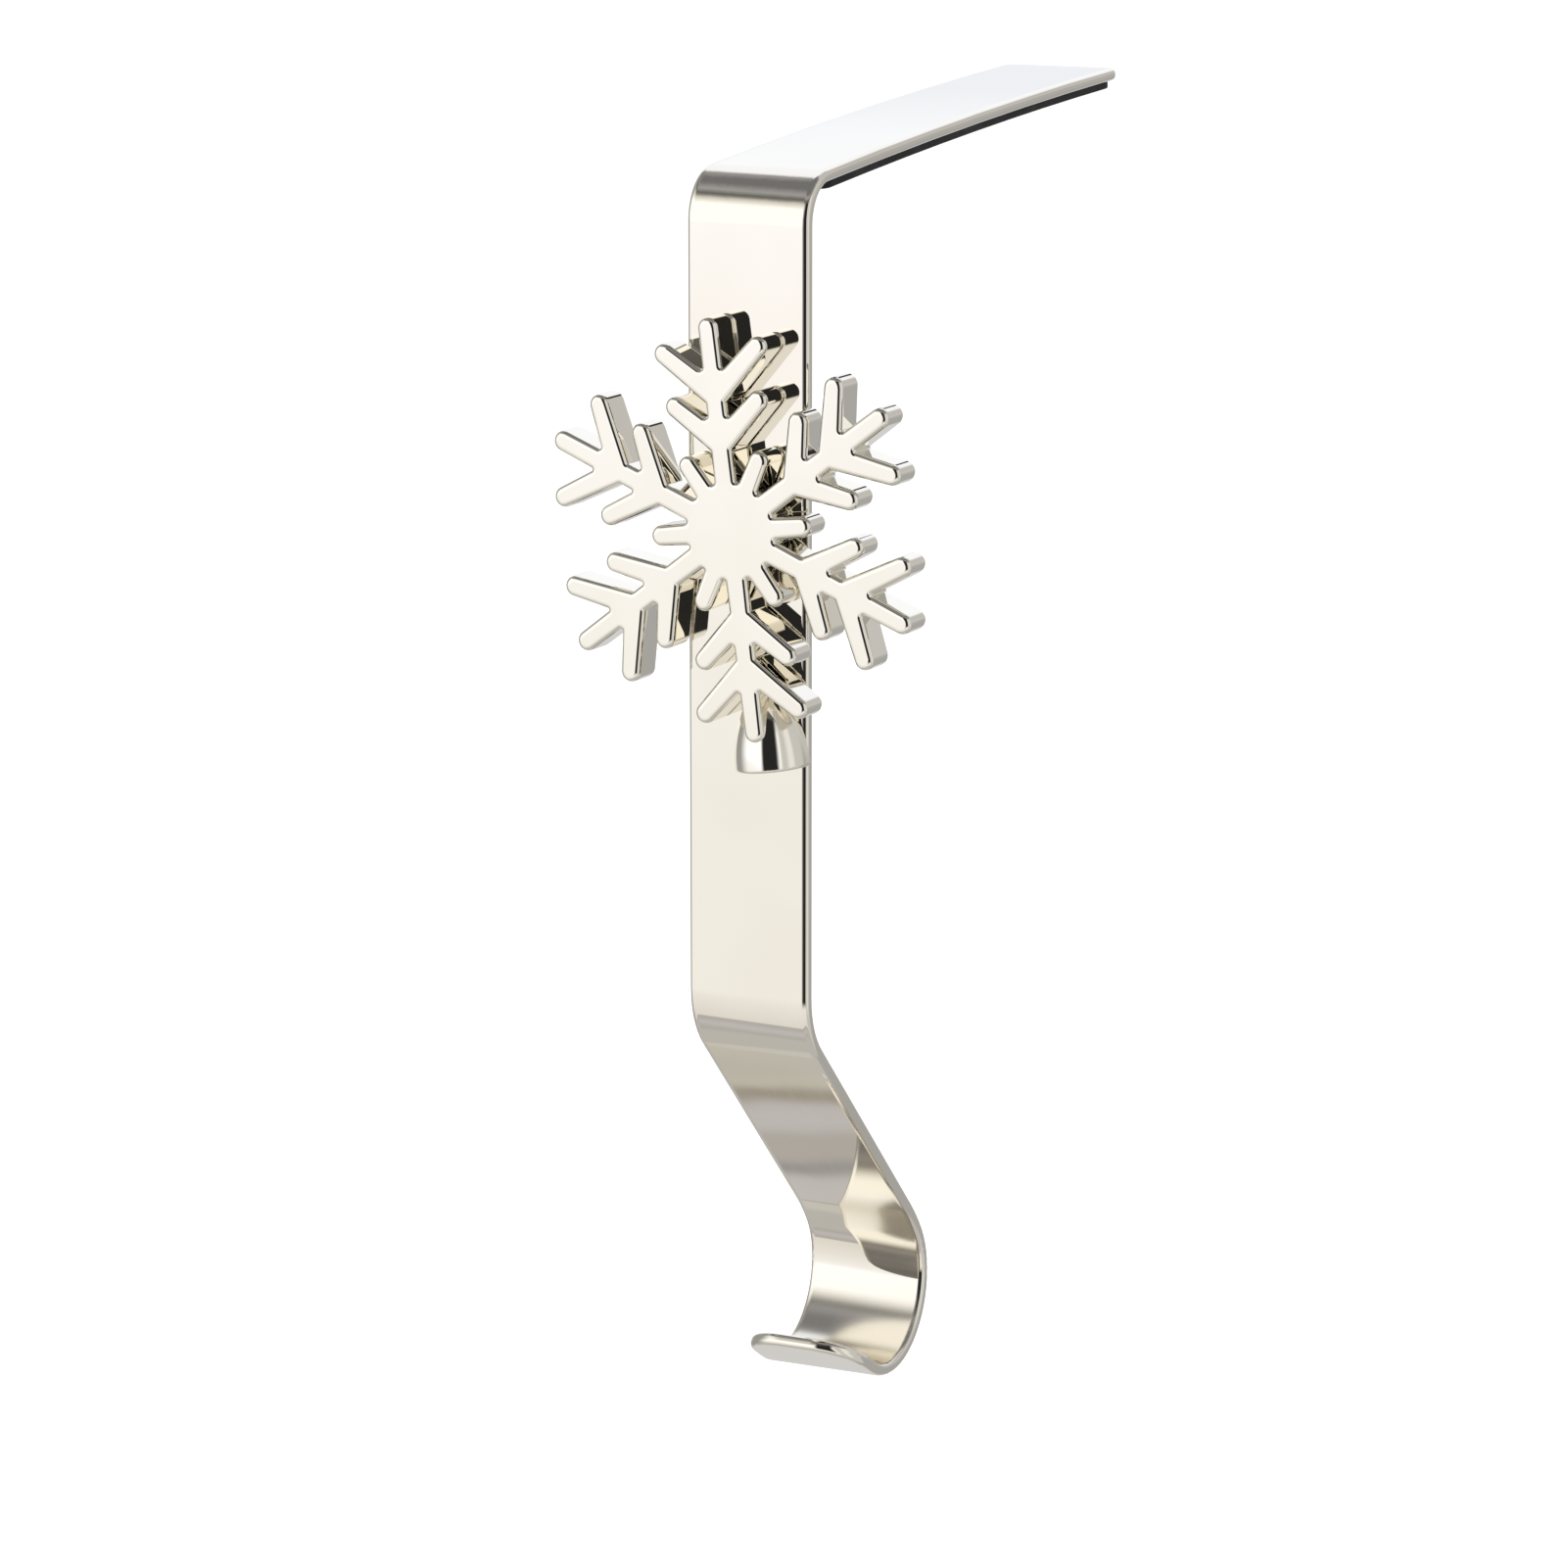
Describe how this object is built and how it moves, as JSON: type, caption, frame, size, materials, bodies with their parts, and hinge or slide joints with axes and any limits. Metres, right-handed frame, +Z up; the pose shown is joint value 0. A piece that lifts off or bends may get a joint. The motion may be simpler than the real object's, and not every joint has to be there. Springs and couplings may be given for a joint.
{
  "type": "mantel stocking holder",
  "caption": "Polished bent-strap mantel stocking holder: a padded plate rests on the shelf, the strap runs down its front past a cast snowflake and ends in a round hook.",
  "frame": {"origin": "the mantel's top front edge: on the strap's back face, level with the pad's underside at its front end, midway across the strap", "axes": "+Z up, +Y from the mantel's front towards the wall, +X to the right as seen from the front"},
  "size_m": [0.0588, 0.1231, 0.1986],
  "materials": {
    "polished_strap": "polished, warm nickel",
    "polished_casting": "polished, warm nickel",
    "pad_rubber": "matt",
    "screw_steel": "turned"
  },
  "bodies": {
    "root": {"hook_strap": "polished_strap", "snowflake_ornament": "polished_casting", "non_slip_pad": "pad_rubber", "ornament_screw": "screw_steel"}
  },
  "joints": []
}
